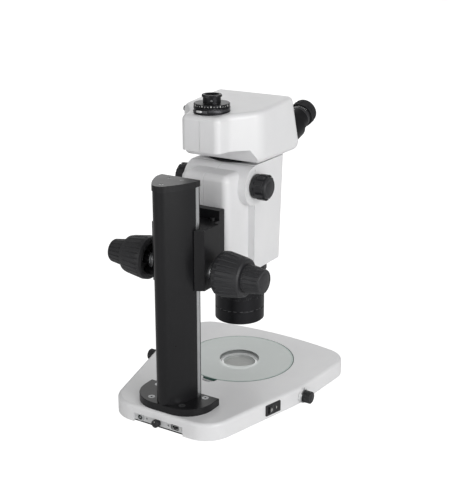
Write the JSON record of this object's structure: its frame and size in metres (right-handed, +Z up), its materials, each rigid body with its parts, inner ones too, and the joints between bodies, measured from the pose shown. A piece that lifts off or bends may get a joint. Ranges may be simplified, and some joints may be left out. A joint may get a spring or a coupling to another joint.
{
  "type": "stereo microscope",
  "caption": "Trinocular stereo zoom microscope on a rack-and-pinion pillar stand with a flat lit glass stage, tilting substage mirror and a vertical camera port.",
  "frame": {"origin": "centre of the stage glass's top face, on the optical axis", "axes": "+Z up along the optical axis, +Y to the rear where the pillar stands, +X to the operator's right"},
  "size_m": [0.2586, 0.3188, 0.4017],
  "materials": {
    "white_paint": "smooth satin near-white enamel",
    "black_sheet": "fine-textured black powder coat",
    "foot_rubber": "matt black rubber",
    "plate_glass": "clear plate with a faint green edge",
    "ring_metal": "turned, satin",
    "diffuser": "milky diffusing plastic",
    "mirror_metal": "polished plate",
    "bright_steel": "ground and polished",
    "scale_metal": "satin chrome, engraved lines",
    "black_plastic": "fine-grained black moulding",
    "board": "solder-masked laminate",
    "grey_panel": "satin light grey",
    "pillar_black": "satin black",
    "cap_grey": "satin dark grey",
    "black_anodised": "black anodised",
    "knob_charcoal": "charcoal moulding",
    "lens_glass": "coated optical glass",
    "lever_metal": "satin clear anodised",
    "smoked_metal": "smoked anodised, turned",
    "cup_rubber": "soft black rubber",
    "screw_steel": "zinc plated"
  },
  "bodies": {
    "stand": {"base_housing": "white_paint", "base_bottom_cover": "black_sheet", "rubber_feet": "foot_rubber", "stage_glass": "plate_glass", "light_well_ring": "ring_metal", "diffuser_lens": "diffuser", "mirror_scale_ring": "scale_metal", "led_board": "board", "control_board": "board", "rear_panel": "grey_panel", "power_jack": "scale_metal", "rocker_bezel": "black_plastic", "column_flange": "pillar_black", "pillar": "pillar_black", "guide_rails": "bright_steel", "pillar_cap": "cap_grey", "gear_rack": "bright_steel", "stand_screws": "screw_steel"},
    "mirror": {"mirror_shaft": "bright_steel", "mirror_holder": "mirror_metal", "mirror_knobs": "black_plastic"},
    "power_rocker": {"rocker": "black_plastic"},
    "brightness_dial": {"brightness_knob": "black_plastic"},
    "mode_switch": {"slide_switch_button": "black_plastic"},
    "scope": {"focus_carriage": "pillar_black", "focus_hubs": "scale_metal", "scope_bracket": "pillar_black", "scope_screws": "screw_steel", "body_shell_left": "white_paint", "body_shell_right": "white_paint", "lens_frame": "black_anodised", "objective_mount": "black_anodised", "objective_barrel": "black_anodised", "objective_lens": "lens_glass", "dovetail_ring": "black_anodised", "head_base_plate": "white_paint", "head_shell": "white_paint", "head_prisms": "lens_glass", "port_base_ring": "black_anodised"},
    "coarse_focus": {"pinion_shaft": "bright_steel", "coarse_knobs": "knob_charcoal"},
    "fine_focus": {"fine_shaft": "bright_steel", "fine_knobs": "knob_charcoal"},
    "zoom_drive": {"zoom_shaft": "bright_steel", "zoom_knobs": "black_plastic"},
    "upper_carrier": {"upper_lens_carrier": "black_anodised", "upper_zoom_lenses": "lens_glass"},
    "lower_carrier": {"lower_lens_carrier": "black_anodised", "lower_zoom_lenses": "lens_glass"},
    "camera_adapter": {"port_adapter": "black_anodised"},
    "port_shutter": {"port_lever": "smoked_metal"},
    "path_rod": {"light_path_rod": "lever_metal"},
    "right_eyetube": {"eyetube_right": "black_anodised", "eyepiece_right": "black_anodised", "eyecup_right": "cup_rubber"},
    "left_eyetube": {"eyetube_left": "black_anodised", "eyepiece_left": "black_anodised", "eyecup_left": "cup_rubber"},
    "right_diopter": {"diopter_ring_right": "smoked_metal"},
    "left_diopter": {"diopter_ring_left": "smoked_metal"}
  },
  "joints": [
    {"name": "mirror_tilt", "type": "hinge", "parent": "stand", "child": "mirror", "pos_m": [0, 0.032, -0.0132], "axis": [1, 0, 0], "range_deg": [-2.5, 2.5]},
    {"name": "power_rocker_press", "type": "hinge", "parent": "stand", "child": "power_rocker", "pos_m": [-0.10101, 0.08641, -0.0109], "axis": [0, 0, 1], "range_deg": [-14, 0]},
    {"name": "brightness_turn", "type": "hinge", "parent": "stand", "child": "brightness_dial", "pos_m": [0.005, 0.188, -0.0155], "axis": [0, 1, 0], "range_deg": [0, 270]},
    {"name": "mode_slide", "type": "slide", "parent": "stand", "child": "mode_switch", "axis": [1, 0, 0], "range_m": [0, 0.0025]},
    {"name": "focus_slide", "type": "slide", "parent": "stand", "child": "scope", "axis": [0, 0, 1], "range_m": [-0.045, 0.045]},
    {"name": "coarse_focus_turn", "type": "hinge", "parent": "scope", "child": "coarse_focus", "pos_m": [0, 0.1274, 0.1739], "axis": [1, 0, 0], "range_deg": [-430, 430]},
    {"name": "fine_focus_turn", "type": "hinge", "parent": "coarse_focus", "child": "fine_focus", "pos_m": [0, 0.1274, 0.1739], "axis": [1, 0, 0], "continuous": true},
    {"name": "upper_carrier_slide", "type": "slide", "parent": "scope", "child": "upper_carrier", "axis": [0, 0, 1], "range_m": [-0.00794, 0.00794]},
    {"name": "lower_carrier_slide", "type": "slide", "parent": "scope", "child": "lower_carrier", "axis": [0, 0, 1], "range_m": [-0.0081, 0.0081]},
    {"name": "zoom_turn", "type": "hinge", "parent": "scope", "child": "zoom_drive", "pos_m": [0, 0.04, 0.261], "axis": [1, 0, 0], "range_deg": [-131, 131]},
    {"name": "camera_adapter_turn", "type": "hinge", "parent": "scope", "child": "camera_adapter", "pos_m": [0, 0.0675, 0.36], "axis": [0, 0, 1], "continuous": true},
    {"name": "port_shutter_turn", "type": "hinge", "parent": "scope", "child": "port_shutter", "pos_m": [0, 0.0675, 0.3578], "axis": [0, 0, 1], "range_deg": [0, 50]},
    {"name": "path_rod_pull", "type": "slide", "parent": "scope", "child": "path_rod", "axis": [1, 0, 0], "range_m": [0, 0.012]},
    {"name": "right_eyetube_turn", "type": "hinge", "parent": "scope", "child": "right_eyetube", "pos_m": [0.016, -0.05457, 0.32242], "axis": [0, -0.9511, 0.309], "range_deg": [-14, 16]},
    {"name": "left_eyetube_turn", "type": "hinge", "parent": "scope", "child": "left_eyetube", "pos_m": [-0.016, -0.05457, 0.32242], "axis": [0, -0.9511, 0.309], "range_deg": [-16, 14]},
    {"name": "right_diopter_turn", "type": "hinge", "parent": "right_eyetube", "child": "right_diopter", "pos_m": [0.031, -0.10169, 0.32301], "axis": [0, -0.9511, 0.309], "range_deg": [-150, 150]},
    {"name": "left_diopter_turn", "type": "hinge", "parent": "left_eyetube", "child": "left_diopter", "pos_m": [-0.031, -0.10169, 0.32301], "axis": [0, -0.9511, 0.309], "range_deg": [-150, 150]}
  ],
  "couplings": [
    {"joint": "coarse_focus_turn", "follows": "focus_slide", "rad_per_m": -166.67},
    {"joint": "zoom_turn", "follows": "upper_carrier_slide", "rad_per_m": -285.71},
    {"joint": "lower_carrier_slide", "follows": "upper_carrier_slide", "ratio": -1},
    {"joint": "left_eyetube_turn", "follows": "right_eyetube_turn", "ratio": -1}
  ]
}
